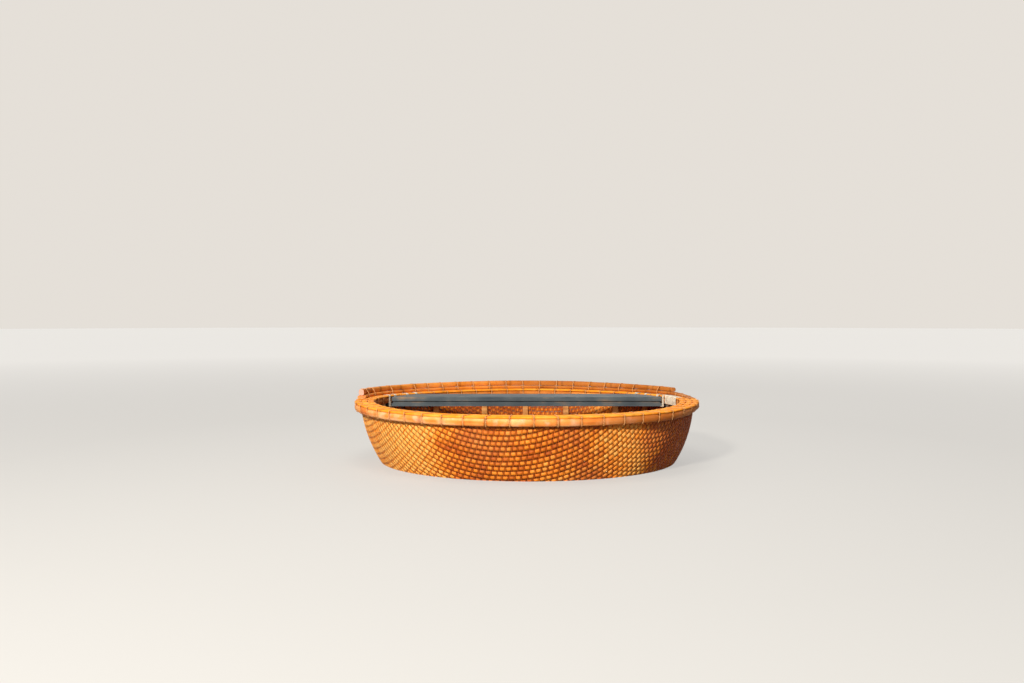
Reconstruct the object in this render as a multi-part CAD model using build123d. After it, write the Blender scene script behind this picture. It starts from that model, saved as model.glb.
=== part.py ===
# Round woven-bamboo basket boat: a bowl-shaped hull with a lashed rim of split-bamboo hoops,
# a cap of splints, a raised hoop round the far half, crossing ribs and one painted bench.
# Millimetres, +Z up. The origin is the centre of the flat bottom, on the ground.
# -Y is the near side, where the rim is low, and +Y the far side, where the raised hoop stands.
import os
from math import asin, atan2, copysign, cos, degrees, hypot, radians, sin, sqrt, tan

from build123d import *

# Hull: the outer face of the woven wall, from the mouth down to the flat of the bottom
mouthRadius = 950.0  # outer face at the top edge of the wall
mouthHeight = 505.0  # top edge of the wall above the ground
collarHeight = 46.0  # straight stretch of wall that the hoops grip
topLean = radians(6.5)  # lean of the wall from the vertical at the collar
midLean = radians(33.0)  # lean where the side turns into the bilge
sideArc = 665.0  # radius of the side, seen in section
bilgeArc = 250.0  # radius of the bilge, seen in section
flatRadius = 150.0  # flat middle of the bottom, which stands on the ground
wallThick = 10.0  # two layers of woven strips with their coat of resin

# Hoops on both sides of the wall
hoopOuterThick = 30.0
hoopOuterHeight = 38.0
hoopOuterSwell = 5.0  # how far the split face of the outer hoop bulges
hoopFaceThick = 31.0  # inner hoop that faces the inside
hoopBackThick = 27.0  # inner hoop against the wall
hoopFaceSwell = 6.0
hoopInnerHeight = 35.0
twineGap = 3.0  # between the two inner hoops, where twine passes
seatGap = 0.3  # running gap between pieces that lie on each other

# Cap splints that lie on the hoops
capCount = 3
capThick = 12.0
capCrown = 3.0  # rise of the rounded top of each splint, within its thickness
capOverhang = 2.0  # past the faces of the hoops, at each side

# Raised hoop on the far half: a flat base layer and a tall split pole on it
raisedBaseHeight = 18.0
raisedBaseThick = 48.0
raisedPoleHeight = 32.0
raisedPoleThick = 30.0
raisedPoleSwell = 4.0
raisedInset = 2.0  # from the outer edge of the cap
baseStart = 1.0  # degrees from +X, counter-clockwise, where the base layer runs out
poleStart = 20.4
raisedEnd = 180.0

# Cord lashings round the rim
lashingCount = 52
lashingPhase = 1.0  # degrees from -Y to the first one
lashingWidth = 5.0
lashingThick = 2.5
slotGap = 0.5  # round a cord where it passes through the wall

# Ribs of split bamboo in two crossing layers
ribWidth = 36.0
ribThick = 8.0
ribCount = 5  # in each layer
ribEdgeInset = 410.0  # from the wall's top edge to the middle of the first layer's outermost ribs
ribEdgeShift = 40.0  # how much further out the second layer's outermost ribs lie
ribTopGap = 6.0  # below the inner hoops

# Bench
benchFront = 290.0  # Y of the front edge
benchDepth = 240.0
plankThick = 25.0
bearerWidth = 30.0
bearerHeight = 33.0
tenonHeight = 17.7  # end of a bearer, let in under the inner hoops
bearerInset = 12.0  # from the plank's edges
benchEndGap = 2.0  # between the plank's ends and the cords on the inner hoop
tenonWallGap = 5.0
plankRound = 4.0

# Twine lashings that bind the bearers' ends to the inner hoop
twineThick = 2.4
strapWidth = 16.0
strapGap = 2.0  # between the twine and the bearer's side

# Worked out from the sizes above
collarBottom = mouthHeight - collarHeight
collarRadius = mouthRadius - collarHeight * tan(topLean)
sideCentre = (collarRadius - sideArc * cos(topLean), collarBottom + sideArc * sin(topLean))
bilgeTop = (sideCentre[0] + sideArc * cos(midLean), sideCentre[1] - sideArc * sin(midLean))
bilgeCentre = (bilgeTop[0] - bilgeArc * cos(midLean), bilgeTop[1] + bilgeArc * sin(midLean))
bilgeReach = bilgeCentre[0] - flatRadius
bottomArc = (bilgeReach**2 + bilgeCentre[1] ** 2 - bilgeArc**2) / (2 * (bilgeCentre[1] - bilgeArc))
lowLean = atan2(bottomArc - bilgeCentre[1], bilgeReach)

capBottom = mouthHeight + seatGap
capTop = capBottom + capThick
wallInnerTop = mouthRadius - wallThick / cos(topLean)
backOuter = wallInnerTop - seatGap - hoopInnerHeight * tan(topLean)
backInner = backOuter - hoopBackThick
faceOuter = backInner - twineGap
faceInner = faceOuter - hoopFaceThick
innerBottom = mouthHeight - hoopInnerHeight
hoopBottom = mouthHeight - hoopOuterHeight
outerFace = mouthRadius + hoopOuterThick
capInner = faceInner - capOverhang
capOuter = outerFace - hoopOuterSwell + capOverhang
raisedOuter = capOuter - raisedInset
poleInner = raisedOuter - raisedPoleThick
baseInner = raisedOuter - raisedBaseThick
baseBottom = capTop + seatGap
baseTop = baseBottom + raisedBaseHeight
poleBottom = baseTop + seatGap
poleTop = poleBottom + raisedPoleHeight

tenonTop = innerBottom - seatGap
bearerBottom = tenonTop - tenonHeight
plankBottom = bearerBottom + bearerHeight
bearerYs = (
    benchFront + bearerInset + bearerWidth / 2,
    benchFront + benchDepth - bearerInset - bearerWidth / 2,
)
benchReach = capInner - seatGap - max(lashingThick, twineThick) - benchEndGap
twinePassRadius = (backInner + faceOuter) / 2


def at(radius, height):
    return (radius, 0, height)


def onArc(centre, radius, lean):
    return at(centre[0] + radius * cos(lean), centre[1] - radius * sin(lean))


def arcEdge(centre, radius, leanA, leanB):
    middle = (leanA + leanB) / 2
    ends = [onArc(centre, radius, lean) for lean in (leanA, middle, leanB)]
    return ThreePointArc(*ends)


def polygonFace(points):
    return Face(Wire.make_polygon([at(*point) for point in points], close=True))


def turned(face, start=0.0, sweep=360.0):
    return Rot(0, 0, start) * revolve(face, Axis.Z, revolution_arc=sweep)


def hullShell(outside, inside):
    """A bowl between two depths, both measured in from the hull's outer face."""
    edges = []
    for inset in (outside, inside):
        top = at(mouthRadius - inset / cos(topLean), mouthHeight)
        collarEnd = onArc(sideCentre, sideArc - inset, topLean)
        flatEdge = at(flatRadius, inset)
        edges.append(
            [
                Line(top, collarEnd),
                arcEdge(sideCentre, sideArc - inset, topLean, midLean),
                arcEdge(bilgeCentre, bilgeArc - inset, midLean, lowLean),
                arcEdge((flatRadius, bottomArc), bottomArc - inset, lowLean, radians(90)),
                Line(flatEdge, at(0, inset)),
            ]
        )
    tops = [line[0] @ 0 for line in edges]
    closing = [Line(tops[0], tops[1]), Line(at(0, outside), at(0, inside))]
    return turned(Face(Wire(edges[0] + edges[1] + closing)))


def collarFace(height):
    """Radius of the wall's outer face at a height on the collar."""
    return mouthRadius - (mouthHeight - height) * tan(topLean)


def wallInnerRadius(height):
    reach = sideArc - wallThick
    return sideCentre[0] + sqrt(reach**2 - (sideCentre[1] - height) ** 2)


def swollen(points, swellEdge, swell):
    """A polygon whose side after point number swellEdge bulges outwards as an arc."""
    edges = []
    for number, start in enumerate(points):
        end = points[(number + 1) % len(points)]
        if number == swellEdge:
            run = hypot(end[0] - start[0], end[1] - start[1])
            outward = ((end[1] - start[1]) / run, -(end[0] - start[0]) / run)
            middle = [(a + b) / 2 + swell * out for a, b, out in zip(start, end, outward)]
            edges.append(ThreePointArc(at(*start), at(*middle), at(*end)))
        else:
            edges.append(Line(at(*start), at(*end)))
    return Face(Wire(edges))


def outerHoop():
    face = outerFace - hoopOuterSwell
    corners = [
        (collarFace(hoopBottom) + seatGap, hoopBottom),
        (face, hoopBottom),
        (face, mouthHeight),
        (mouthRadius + seatGap, mouthHeight),
    ]
    return turned(swollen(corners, 1, hoopOuterSwell))


def innerHoopBack():
    corners = [
        (backInner, innerBottom),
        (backOuter, innerBottom),
        (wallInnerTop - seatGap, mouthHeight),
        (backInner, mouthHeight),
    ]
    return turned(polygonFace(corners))


def innerHoopFace():
    flat = faceInner + hoopFaceSwell
    corners = [
        (flat, innerBottom),
        (faceOuter, innerBottom),
        (faceOuter, mouthHeight),
        (flat, mouthHeight),
    ]
    return turned(swollen(corners, 3, hoopFaceSwell))


def capSplints():
    """Flat splints side by side on the hoops, each with a rounded top."""
    inner = twinePassRadius + twineGap / 2
    room = capOuter - inner
    others = capCount - 1
    wide = (room - (others - 1) * twineGap) / others
    bands = [(capInner, twinePassRadius - twineGap / 2)]
    bands += [(inner + n * (wide + twineGap), inner + n * (wide + twineGap) + wide) for n in range(others)]
    shoulder = capTop - capCrown
    rings = []
    for start, end in bands:
        corners = [(start, capBottom), (end, capBottom), (end, shoulder), (start, shoulder)]
        rings.append(turned(swollen(corners, 2, capCrown)))
    return rings


def paringLine():
    """The two ends of the slope that pares the base layer down to nothing."""
    low, high = radians(baseStart), radians(poleStart)
    return (
        Vector(capOuter * cos(low), capOuter * sin(low), baseBottom),
        Vector(capOuter * cos(high), capOuter * sin(high), baseTop),
    )


def raisedHeight(angle):
    """How far the raised hoop stands above the cap under a cord at an angle from +X."""
    margin = degrees(lashingWidth / 2 / capInner)
    if angle < baseStart - margin or angle > raisedEnd + margin:
        return 0.0
    if angle > poleStart - margin:
        return poleTop - capTop
    low, high = paringLine()
    level = Vector(high.X - low.X, high.Y - low.Y)
    rises = []
    for turn in (radians(angle - margin), radians(angle + margin)):
        for radius in (baseInner, raisedOuter):
            away = Vector(radius * cos(turn) - low.X, radius * sin(turn) - low.Y)
            rises.append((high.Z - low.Z) * away.dot(level) / level.dot(level))
    return max(0, seatGap + max(rises))


def raisedBase():
    corners = [
        (baseInner, baseBottom),
        (raisedOuter, baseBottom),
        (raisedOuter, baseTop),
        (baseInner, baseTop),
    ]
    ring = turned(polygonFace(corners), baseStart, raisedEnd - baseStart)
    # the near end is pared down to nothing between the base's start and the pole's end
    low, high = paringLine()
    along = high - low
    level = hypot(along.X, along.Y)
    slope = degrees(atan2(along.Z, level))
    turn = degrees(atan2(along.Y, along.X))
    size = 2 * level
    knife = Pos(low) * Rot(0, 0, turn) * Rot(0, -slope, 0) * Pos(0, 0, size / 2) * Box(size, size, size)
    return ring - knife


def raisedPole():
    corners = [
        (poleInner, poleBottom),
        (raisedOuter - raisedPoleSwell, poleBottom),
        (raisedOuter - raisedPoleSwell, poleTop),
        (poleInner, poleTop),
    ]
    return turned(swollen(corners, 1, raisedPoleSwell), poleStart, raisedEnd - poleStart)


def crossings():
    """Where the bearers pass under the inner hoop: the angle from +X there, and the angle
    from it to the middle of the strap of twine on each side of the bearer."""
    middle = (faceInner + faceOuter) / 2
    places = []
    for y in bearerYs:
        angle = degrees(asin(y / middle))
        reach = 0.0
        for radius in (capInner - seatGap - twineThick, backInner):
            for edge in (y - bearerWidth / 2, y + bearerWidth / 2):
                reach = max(reach, abs(degrees(asin(edge / radius)) - angle))
        reach += degrees((strapGap + strapWidth / 2) / capInner)
        places += [(angle, reach), (180 - angle, reach)]
    return places


def lashingAngles():
    """Even spacing round the rim, less the places that the bench's twine takes."""
    step = 360 / lashingCount
    angles = []
    for number in range(lashingCount):
        angle = (270 + lashingPhase + number * step) % 360
        clear = True
        for crossing, reach in crossings():
            if abs(angle - crossing) < reach + degrees((strapWidth / 2 + lashingWidth) / capInner):
                clear = False
        if clear:
            angles.append(angle)
    return angles


def loopSection(rise):
    """The inside of a cord's loop round the rim, where the raised hoop stands that high."""
    low = hoopBottom - seatGap
    cordTop = capTop + seatGap
    points = [
        (capInner - seatGap, low),
        (outerFace - hoopOuterSwell + seatGap, low),
        (capOuter + seatGap, capBottom),
        (capOuter + seatGap, cordTop),
    ]
    if rise > 0:
        high = cordTop + rise
        points += [(raisedOuter + seatGap, cordTop), (raisedOuter + seatGap, high)]
        if high > poleBottom:
            points += [(poleInner - seatGap, high)]
        points += [(baseInner - seatGap, min(high, baseTop + seatGap)), (baseInner - seatGap, cordTop)]
    return swollen(points + [(capInner - seatGap, cordTop)], 1, hoopOuterSwell)


def rimLashings():
    loops = []
    for angle in lashingAngles():
        inside = loopSection(raisedHeight(angle))
        outside = offset(inside, amount=lashingThick, kind=Kind.INTERSECTION)
        band = extrude(outside - inside, amount=lashingWidth / 2, dir=(0, 1, 0), both=True)
        loops.append(Rot(0, 0, angle) * band)
    return loops


def hull():
    bowl = hullShell(0, wallThick)
    high = lashingThick + 2 * slotGap
    middle = hoopBottom - seatGap - lashingThick / 2
    wide = lashingWidth + 2 * slotGap
    cutter = Pos(collarFace(middle) - wallThick / 2, 0, middle) * Box(4 * wallThick, wide, high)
    return bowl - [Rot(0, 0, angle) * cutter for angle in lashingAngles()]


def ribs(layer):
    """Parallel ribs; the second layer lies on the first."""
    outside = wallThick + seatGap + layer * (ribThick + seatGap)
    shell = hullShell(outside, outside + ribThick)
    top = innerBottom - ribTopGap
    pitch = 2 * (mouthRadius - ribEdgeInset) / (ribCount - 1)
    pieces = []
    for number in range(ribCount):
        away = (number - (ribCount - 1) / 2) * pitch
        if number in (0, ribCount - 1):
            away += copysign(layer * ribEdgeShift, away)
        slab = Pos(0, away, top / 2) * Box(2 * mouthRadius, ribWidth, top)
        if layer:
            slab = Rot(0, 0, 90) * slab
        pieces.append(shell & slab)
    return pieces


def benchPlank():
    blank = Pos(0, benchFront + benchDepth / 2, plankBottom + plankThick / 2) * Box(
        2 * faceInner, benchDepth, plankThick
    )
    endCut = Pos(0, 0, plankBottom) * Cylinder(benchReach, 4 * plankThick)
    plank = blank & endCut
    return fillet(plank.edges().filter_by(Axis.X).group_by(Axis.Z)[-1], plankRound)


def benchBearer(middleY):
    body = Pos(0, middleY, bearerBottom + bearerHeight / 2) * Box(2 * faceInner, bearerWidth, bearerHeight)
    body &= Cylinder(benchReach, 4 * mouthHeight)
    tenon = Pos(0, middleY, bearerBottom + tenonHeight / 2) * Box(2 * mouthRadius, bearerWidth, tenonHeight)
    tenon &= Cylinder(wallInnerRadius(bearerBottom) - tenonWallGap, 4 * mouthHeight)
    return body + tenon


def benchLashings(side):
    """Twine over the inner hoop on both sides of a bearer's end, and under the bearer."""
    top = capTop + seatGap
    bottom = bearerBottom - seatGap
    innerLeg = (capInner - seatGap - twineThick, capInner - seatGap)
    outerLeg = (twinePassRadius - twineThick / 2, twinePassRadius + twineThick / 2)
    overHoop = [
        (innerLeg[0], bottom - twineThick),
        (innerLeg[1], bottom - twineThick),
        (innerLeg[1], top),
        (outerLeg[0], top),
        (outerLeg[0], bottom - twineThick),
        (outerLeg[1], bottom - twineThick),
        (outerLeg[1], top + twineThick),
        (innerLeg[0], top + twineThick),
    ]
    strap = extrude(polygonFace(overHoop), amount=strapWidth / 2, dir=(0, 1, 0), both=True)
    wraps = []
    for angle, reach in crossings():
        if (angle < 90) != (side > 0):
            continue
        wrap = Rot(0, 0, reach) * strap + Rot(0, 0, -reach) * strap
        turn = radians(reach)
        for leg in (innerLeg, outerLeg):
            middle = (leg[0] + leg[1]) / 2
            sling = Box(twineThick, 2 * middle * sin(turn), twineThick)
            wrap += Pos(middle * cos(turn), 0, bottom - twineThick / 2) * sling
        wraps.append(Rot(0, 0, angle) * wrap)
    return wraps


def save(name, *solids):
    shape = solids[0] if len(solids) == 1 else Compound(children=list(solids))
    export_step(shape, f"parts/{name}.step")


os.makedirs("parts", exist_ok=True)
save("hull", hull())
save("outer_hoop", outerHoop())
save("inner_hoop_back", innerHoopBack())
save("inner_hoop_face", innerHoopFace())
for name, ring in zip(("inner", "middle", "outer"), capSplints()):
    save(f"cap_splint_{name}", ring)
save("raised_base", raisedBase())
save("raised_pole", raisedPole())
save("rim_lashings", *rimLashings())
for layer, way in enumerate(("across", "along")):
    for number, rib in enumerate(ribs(layer), start=1):
        save(f"rib_{way}_{number}", rib)
save("bench_plank", benchPlank())
for name, y in zip(("front", "back"), bearerYs):
    save(f"bench_bearer_{name}", benchBearer(y))
for name, side in (("left", -1), ("right", 1)):
    save(f"bench_lashing_{name}", *benchLashings(side))
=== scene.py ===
import math
import random

import bpy
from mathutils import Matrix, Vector


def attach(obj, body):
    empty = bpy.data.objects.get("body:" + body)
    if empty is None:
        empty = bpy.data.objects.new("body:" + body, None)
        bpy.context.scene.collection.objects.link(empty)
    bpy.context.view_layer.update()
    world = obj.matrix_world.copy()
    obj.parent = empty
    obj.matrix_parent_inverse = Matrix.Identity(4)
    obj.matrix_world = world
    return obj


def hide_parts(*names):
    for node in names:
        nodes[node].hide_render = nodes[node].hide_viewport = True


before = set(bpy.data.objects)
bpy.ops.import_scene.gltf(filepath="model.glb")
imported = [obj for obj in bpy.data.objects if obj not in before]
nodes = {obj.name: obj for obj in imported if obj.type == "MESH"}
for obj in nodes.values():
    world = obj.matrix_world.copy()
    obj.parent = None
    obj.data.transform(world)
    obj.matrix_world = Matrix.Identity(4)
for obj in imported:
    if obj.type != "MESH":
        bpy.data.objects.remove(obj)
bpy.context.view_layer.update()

waterline = 0.180  # its height over the bottom; the floor lies there

# The bowl's outer face in section, as the hull is built: a flat, three arcs and a straight collar
bowl = {
    "mouthRadius": 0.950,
    "mouthHeight": 0.505,
    "collarHeight": 0.046,
    "topSlope": math.radians(90 - 6.5),  # slopes are from the level
    "midSlope": math.radians(90 - 33.0),
    "sideArc": 0.665,
    "bilgeArc": 0.250,
    "flatRadius": 0.150,
    "wall": 0.010,
}


def solveBowl():
    b = bowl
    collarRadius = b["mouthRadius"] - b["collarHeight"] / math.tan(b["topSlope"])
    collarFoot = b["mouthHeight"] - b["collarHeight"]
    sideX = collarRadius - b["sideArc"] * math.sin(b["topSlope"])
    sideZ = collarFoot + b["sideArc"] * math.cos(b["topSlope"])
    bilgeX = sideX + (b["sideArc"] - b["bilgeArc"]) * math.sin(b["midSlope"])
    bilgeZ = sideZ - (b["sideArc"] - b["bilgeArc"]) * math.cos(b["midSlope"])
    run = bilgeX - b["flatRadius"]
    b["bottomArc"] = (run**2 + bilgeZ**2 - b["bilgeArc"] ** 2) / (2 * (bilgeZ - b["bilgeArc"]))
    b["lowSlope"] = math.atan2(run, b["bottomArc"] - bilgeZ)
    b["matReach"] = (
        b["flatRadius"]
        + b["bottomArc"] * b["lowSlope"]
        + b["bilgeArc"] * (b["midSlope"] - b["lowSlope"])
        + b["sideArc"] * (b["topSlope"] - b["midSlope"])
        + b["collarHeight"] / math.sin(b["topSlope"])
    )


solveBowl()
print("bowl: reach over the mat", round(bowl["matReach"], 4), "bottom arc", round(bowl["bottomArc"], 4))


def bowlArcs():
    # the section's arcs: the radius of each, and its face's slopes at the start and the end
    slopes = (0.0, bowl["lowSlope"], bowl["midSlope"], bowl["topSlope"])
    return list(zip((bowl["bottomArc"], bowl["bilgeArc"], bowl["sideArc"]), slopes, slopes[1:]))


def bowlPoint(reach, depth):
    # radius and height of a point that lies this far out over the bowl and this deep in its face
    radius, height, slope = min(reach, bowl["flatRadius"]), 0.0, 0.0
    left = max(0.0, reach - bowl["flatRadius"])
    for arc, _, upTo in bowlArcs():
        step = min(left, arc * (upTo - slope))
        turn = slope + step / arc
        radius += arc * (math.sin(turn) - math.sin(slope))
        height += arc * (math.cos(slope) - math.cos(turn))
        left -= step
        slope = turn
    radius += left * math.cos(slope)
    height += left * math.sin(slope)
    return radius - depth * math.sin(slope), height + depth * math.cos(slope)


# Node trees

class term:
    # a field in a node tree, so that a sum in the script reads as a sum
    def __init__(self, socket):
        self.socket, self.tree = socket, socket.id_data

    def __neg__(self):
        return calc("MULTIPLY", self, -1.0)


def teach(sign, kind):
    # how fields are added, divided and so on, with a field or a number on either side
    setattr(term, f"__{sign}__", lambda self, other: calc(kind, self, other))
    setattr(term, f"__r{sign}__", lambda self, other: calc(kind, other, self))


for sign, kind in (("add", "ADD"), ("sub", "SUBTRACT"), ("mul", "MULTIPLY"), ("truediv", "DIVIDE")):
    teach(sign, kind)


def plug(value, socket):
    if isinstance(value, term):
        value.tree.links.new(value.socket, socket)
    else:
        socket.default_value = value


def combined(kind, values, settings=()):
    # a node in its first field's tree, with its inputs in order
    tree = next(v.tree for v in values if isinstance(v, term))
    made = node(tree, kind, settings)
    for value, socket in zip(values, made.inputs):
        plug(value, socket)
    return out(made)


def calc(kind, *values):
    return combined("ShaderNodeMath", values, {"operation": kind})


def sine(v):
    return calc("SINE", v)


def cosine(v):
    return calc("COSINE", v)


def size(v):
    return calc("ABSOLUTE", v)


def smaller(a, b):
    return calc("MINIMUM", a, b)


def larger(a, b):
    return calc("MAXIMUM", a, b)


def held(v, low, high):
    return larger(smaller(v, high), low)


def below(a, b):
    return calc("LESS_THAN", a, b)


def wrapped(v, period):
    return calc("FLOORED_MODULO", v, period)


def bump(distance, width):
    # 1 in the middle, falling to nothing a width or two away
    return calc("EXPONENT", -(distance * distance) / (width * width))


def length(a, b):
    return calc("SQRT", a * a + b * b)


def node(tree, kind, settings=(), **inputs):
    made = tree.nodes.new(kind)
    for name, value in dict(settings).items():
        setattr(made, name, value)
    for name, value in inputs.items():
        plug(value, made.inputs[name.replace("_", " ")])
    return made


def out(made, name=0):
    return term(made.outputs[name])


def vector(*values):
    return combined("ShaderNodeCombineXYZ", values)


def split(value):
    return [term(socket) for socket in node(value.tree, "ShaderNodeSeparateXYZ", Vector=value).outputs]


def position(tree):
    return out(node(tree, "GeometryNodeInputPosition"))


def drawn(number, seed=0):
    # a random share for each whole number
    return out(node(number.tree, "FunctionNodeRandomValue", {"data_type": "FLOAT"}, ID=number, Seed=seed), 1)


def aroundAxis(angle, radius, height):
    return vector(cosine(angle) * radius, sine(angle) * radius, height)


def newTree(name, sizes, whole=(), objects=()):
    # a Geometry Nodes tree with one named input for each size
    tree = bpy.data.node_groups.new(name, "GeometryNodeTree")
    tree.interface.new_socket("Geometry", in_out="INPUT", socket_type="NodeSocketGeometry")
    for label in [*sizes, *objects]:
        kind = "NodeSocketInt" if label in whole else "NodeSocketFloat"
        kind = "NodeSocketObject" if label in objects else kind
        tree.interface.new_socket(label, in_out="INPUT", socket_type=kind)
    tree.interface.new_socket("Material", in_out="INPUT", socket_type="NodeSocketMaterial")
    tree.interface.new_socket("Geometry", in_out="OUTPUT", socket_type="NodeSocketGeometry")
    entry = node(tree, "NodeGroupInput")
    sockets = {socket.name: term(socket) for socket in entry.outputs if socket.name}
    return tree, sockets


def formed(geometry, place):
    return out(node(geometry.tree, "GeometryNodeSetPosition", Geometry=geometry, Position=place))


def closeTree(geometry, material, mergeWithin=0.00002):
    # joins seams and poles, realizes the instances and sets the material
    tree = geometry.tree
    merged = node(tree, "GeometryNodeMergeByDistance", Geometry=geometry, Distance=mergeWithin)
    shaded = node(tree, "GeometryNodeSetShadeSmooth", Geometry=out(merged), Shade_Smooth=True)
    real = node(tree, "GeometryNodeRealizeInstances", Geometry=out(shaded))
    painted = node(tree, "GeometryNodeSetMaterial", Geometry=out(real), Material=material)
    plug(out(painted), node(tree, "NodeGroupOutput").inputs[0])
    return tree


def store(geometry, kind="FLOAT", **values):
    # keeps fields on the mesh for its material
    for name, value in values.items():
        geometry = out(node(geometry.tree, "GeometryNodeStoreNamedAttribute", {"data_type": kind, "domain": "POINT"},
                            Geometry=geometry, Name=name, Value=value))
    return geometry


def placed(name, data):
    made = bpy.data.objects.new(name, data)
    bpy.context.scene.collection.objects.link(made)
    return made


def grow(name, tree, values, material, start=None):
    # runs a tree on a mesh and keeps the result as a plain mesh
    piece = placed(name, start or bpy.data.meshes.new(name))
    modifier = piece.modifiers.new("grow", "NODES")
    modifier.node_group = tree
    for socket in tree.interface.items_tree:
        if socket.item_type != "SOCKET" or socket.in_out != "INPUT" or socket.name == "Geometry":
            continue
        modifier[socket.identifier] = material if socket.name == "Material" else values[socket.name]
    bpy.context.view_layer.update()
    graph = bpy.context.evaluated_depsgraph_get()
    plain = bpy.data.meshes.new_from_object(piece.evaluated_get(graph), depsgraph=graph)
    plain.name = name
    piece.modifiers.remove(modifier)
    piece.data = plain
    if piece.data.materials:
        piece.data.materials[0] = material
    else:
        piece.data.materials.append(material)
    print("made", name, "faces", len(plain.polygons))
    return piece


def bowlFields(reach, depth):
    # the same section as bowlPoint, as fields: radius and height
    start, radius, height, slope = bowl["flatRadius"], smaller(reach, bowl["flatRadius"]), 0.0, 0.0
    for arc, low, high in bowlArcs():
        turn = held((reach - start) / arc, 0.0, high - low) + low
        radius = radius + (sine(turn) - math.sin(low)) * arc
        height = (math.cos(low) - cosine(turn)) * arc + height
        slope = turn - low + slope
        start += arc * (high - low)
    straight = larger(reach - start, 0.0)
    radius = radius + straight * math.cos(bowl["topSlope"])
    height = height + straight * math.sin(bowl["topSlope"])
    return radius - depth * sine(slope), height + depth * cosine(slope)


def rimSway(angle):
    # the rim isn't quite round or level: how far it stands out and up at each angle
    swing = noise(vector(cosine(angle), sine(angle), 4.0), 2.3, 2.0) - 0.5
    lift = noise(vector(cosine(angle), sine(angle), 9.0), 2.6, 2.0) - 0.5
    saddle = cosine(angle * 2.0) * 0.0035 + cosine(angle * 4.0) * 0.0025
    left = bump(wrapped(angle - 0.15, 2 * math.pi) - math.pi, 0.42)  # it bulges at the left
    return swing * 0.010 + left * 0.009, lift * 0.006 + saddle


def nearRim(height):
    # how far the wall follows the rim's sway: not at all low down, wholly at the top
    return calc("SMOOTH_MIN", larger((height - 0.25) / 0.22, 0.0), 1.0, 0.1)


# Materials

def newMaterial(name):
    made = bpy.data.materials.new(name)
    made.use_nodes = True
    tree = made.node_tree
    shader = tree.nodes["Principled BSDF"]
    return made, tree, shader


def attribute(tree, name, output="Fac"):
    return out(node(tree, "ShaderNodeAttribute", {"attribute_name": name}), output)


def noise(place, scale, detail=3.0, rough=0.55, fourth=None):
    made = node(place.tree, "ShaderNodeTexNoise", {"noise_dimensions": "3D" if fourth is None else "4D"},
                Vector=place, Scale=scale, Detail=detail, Roughness=rough)
    if fourth is not None:
        plug(fourth, made.inputs["W"])
    return out(made)


def ramp(value, *stops):
    made = node(value.tree, "ShaderNodeValToRGB", Fac=value)
    elements = made.color_ramp.elements
    while len(elements) < len(stops):
        elements.new(0.5)
    for element, (place, colour) in zip(elements, stops):
        element.position = place
        element.color = (*linear(colour), 1.0)
    return out(made)


def linear(colour):
    # from 0..255 as seen on a screen to the shader's own scale
    return [((c / 255 + 0.055) / 1.055) ** 2.4 if c > 10.3 else c / 255 / 12.92 for c in colour]


def mixed(amount, first, second):
    made = node(amount.tree, "ShaderNodeMix", {"data_type": "RGBA"})
    plug(amount, made.inputs[0])
    for value, socket in ((first, made.inputs[6]), (second, made.inputs[7])):
        plug(value if isinstance(value, term) else (*linear(value), 1.0), socket)
    return out(made, 2)


def coat(shader, colour, rough, gloss, height, depth=0.0012, strength=1.0):
    # a shader's colour, its gloss and its relief
    bumped = out(node(height.tree, "ShaderNodeBump", Strength=strength, Distance=depth, Height=height))
    finish = {"Base Color": colour, "Roughness": rough, "Specular IOR Level": gloss, "Normal": bumped}
    for name, value in finish.items():
        plug(value, shader.inputs[name])


def objectPlace(tree):
    return out(node(tree, "ShaderNodeTexCoord"), "Object")


weaveLook = {
    "leftFrom": 0.34,  # X toward the left from which the weave is painted paler, as if lit full, with its painted shade faint
    "rightAt": 0.50,  # the middle and the width of a painted pool of light at the right
    "rightWide": 0.14,
    "shadeFrom": 0.66,
    "underHoop": 0.448,
    "straw": (255, 182, 90),
    "honey": (248, 142, 36),
    "brown": (186, 84, 16),
    "rust": (190, 96, 52),
    "shadeAndGrime": (96, 42, 10),
    "stain": (84, 62, 40),  # below the waterline
}


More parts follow.
